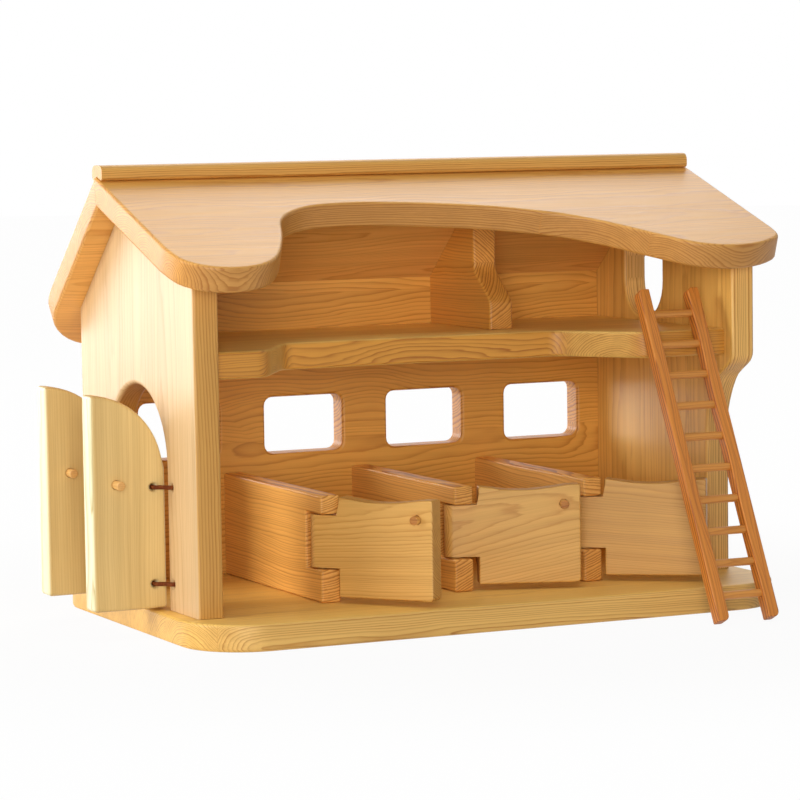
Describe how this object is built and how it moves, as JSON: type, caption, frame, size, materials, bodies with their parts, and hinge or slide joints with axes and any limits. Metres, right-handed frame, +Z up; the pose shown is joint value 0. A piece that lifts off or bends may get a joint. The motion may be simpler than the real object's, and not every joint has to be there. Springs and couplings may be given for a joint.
{
  "type": "toy barn with opening doors",
  "caption": "Open-fronted wooden toy barn with a pair of arched doors, gated stalls, a loft, windows and a loose ladder",
  "frame": {"origin": "centre of the base plate's underside", "axes": "+X to the gable with the ladder, +Y to the back wall, +Z up"},
  "size_m": [0.4878, 0.3473, 0.3102],
  "materials": {
    "pine": "oiled wood",
    "pale_pine": "oiled wood",
    "gold_pine": "oiled wood",
    "reddish_wood": "oiled wood",
    "brown_leather": "round leather lace"
  },
  "bodies": {
    "barn": {"base_plate": "gold_pine", "left_gable": "pale_pine", "right_gable": "pine", "back_wall": "pine", "loft_floor": "pine", "loft_divider": "pine", "roof_front": "pale_pine", "roof_rear": "pale_pine", "ridge_strip": "gold_pine", "stall_divider_1": "pine", "stall_divider_2": "pine", "stall_divider_3": "pine", "gate_pin_1": "pine", "gate_pin_2": "pine", "gate_pin_3": "pine", "hinge_thong_front_1": "brown_leather", "hinge_thong_front_2": "brown_leather", "hinge_thong_rear_1": "brown_leather", "hinge_thong_rear_2": "brown_leather"},
    "door_front": {"barn_door_front": "pale_pine", "door_knob_front": "pine"},
    "door_rear": {"barn_door_rear": "pale_pine", "door_knob_rear": "pine"},
    "gate_1": {"stall_gate_1": "pale_pine", "gate_peg_1": "pine"},
    "gate_2": {"stall_gate_2": "pale_pine", "gate_peg_2": "pine"},
    "gate_3": {"stall_gate_3": "pale_pine", "gate_peg_3": "pine"},
    "ladder": {"ladder_rail_1": "reddish_wood", "ladder_rail_2": "reddish_wood", "ladder_rung_01": "reddish_wood", "ladder_rung_02": "reddish_wood", "ladder_rung_03": "reddish_wood", "ladder_rung_04": "reddish_wood", "ladder_rung_05": "reddish_wood", "ladder_rung_06": "reddish_wood", "ladder_rung_07": "reddish_wood", "ladder_rung_08": "reddish_wood", "ladder_rung_09": "reddish_wood", "ladder_rung_10": "reddish_wood"}
  },
  "joints": [
    {"name": "door_front_hinge", "type": "hinge", "parent": "barn", "child": "door_front", "pos_m": [-0.209, -0.053, 0], "axis": [0, 0, 1], "range_deg": [-90, 70], "deforming": ["hinge_thong_front_1", "hinge_thong_front_2"]},
    {"name": "door_rear_hinge", "type": "hinge", "parent": "barn", "child": "door_rear", "pos_m": [-0.209, 0.053, 0], "axis": [0, 0, -1], "range_deg": [-90, 70], "deforming": ["hinge_thong_rear_1", "hinge_thong_rear_2"]},
    {"name": "gate_1_hinge", "type": "hinge", "parent": "barn", "child": "gate_1", "pos_m": [-0.1032, -0.067, 0], "axis": [0, 0, -1], "range_deg": [-77, 38]},
    {"name": "gate_2_hinge", "type": "hinge", "parent": "barn", "child": "gate_2", "pos_m": [-0.0042, -0.067, 0], "axis": [0, 0, -1], "range_deg": [-45, 70]},
    {"name": "gate_3_hinge", "type": "hinge", "parent": "barn", "child": "gate_3", "pos_m": [0.0948, -0.067, 0], "axis": [0, 0, -1], "range_deg": [-60, 20]},
    {"name": "ladder_lift", "type": "slide", "parent": "barn", "child": "ladder", "axis": [0, -0.8973, 0.4415], "range_m": [0, 0.15]}
  ]
}
